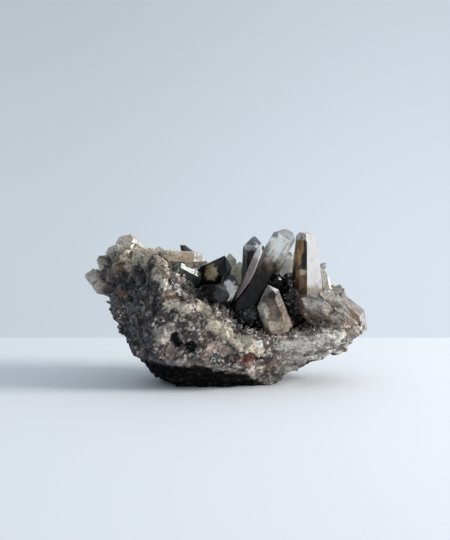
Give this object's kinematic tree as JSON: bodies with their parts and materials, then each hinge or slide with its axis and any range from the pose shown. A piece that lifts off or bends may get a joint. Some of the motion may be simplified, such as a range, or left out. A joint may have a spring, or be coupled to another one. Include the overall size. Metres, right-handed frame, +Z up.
{
  "type": "smoky quartz crystal cluster",
  "caption": "Rough, boat-shaped quartz matrix with smoky, amber and clear quartz points standing in a pocket along its top.",
  "frame": {"origin": "below the middle of the cluster, on the flat foot that it rests on", "axes": "+X along the cluster towards its thin right end, +Y from its front to its back, +Z up"},
  "size_m": [0.089, 0.0462, 0.048],
  "materials": {
    "rock": "rough granular quartz crust, grey and beige with dark pits and a few rust stains",
    "clear_quartz": "clear, glossy, with fine veils",
    "amber_quartz": "brown, translucent, glossy",
    "smoky_quartz": "near-black smoky, glossy",
    "milky_quartz": "milky to pale beige, satin"
  },
  "bodies": {
    "root": {"matrix": "rock", "clear_tip_crystal": "clear_quartz", "brown_white_crystal": "amber_quartz", "dark_capped_crystal": "smoky_quartz", "black_window_crystal": "smoky_quartz", "lit_sliver_crystal": "amber_quartz", "amber_foot_crystal": "amber_quartz", "pale_foot_crystal": "clear_quartz", "right_end_crystal": "amber_quartz", "right_chunk_crystal_1": "clear_quartz", "right_chunk_crystal_2": "clear_quartz", "right_chunk_crystal_3": "clear_quartz", "amber_shard_crystal": "amber_quartz", "brown_recess_crystal": "amber_quartz", "ridge_slab_crystal": "milky_quartz", "green_blade_crystal": "smoky_quartz", "bright_face_crystal": "clear_quartz", "grey_flat_crystal": "smoky_quartz", "white_gap_crystal": "milky_quartz", "dark_clump_crystal_1": "smoky_quartz", "dark_clump_crystal_2": "smoky_quartz", "dark_clump_crystal_3": "smoky_quartz", "dark_clump_crystal_4": "smoky_quartz", "pale_back_crystal_1": "milky_quartz", "pale_back_crystal_2": "milky_quartz", "pale_back_crystal_3": "clear_quartz", "pale_back_crystal_4": "clear_quartz", "pale_back_crystal_5": "clear_quartz", "side_spur_crystal": "clear_quartz", "left_back_crystal_1": "milky_quartz", "left_back_crystal_2": "milky_quartz", "left_back_crystal_3": "milky_quartz", "left_tip_crystal_1": "milky_quartz", "left_tip_crystal_2": "milky_quartz", "left_tip_crystal_3": "milky_quartz", "ridge_back_crystal_1": "smoky_quartz", "ridge_back_crystal_2": "clear_quartz", "rear_crystal_1": "smoky_quartz", "rear_crystal_2": "clear_quartz", "rear_crystal_3": "smoky_quartz", "rear_crystal_4": "clear_quartz", "rear_crystal_5": "amber_quartz", "rear_crystal_6": "milky_quartz"}
  },
  "joints": []
}
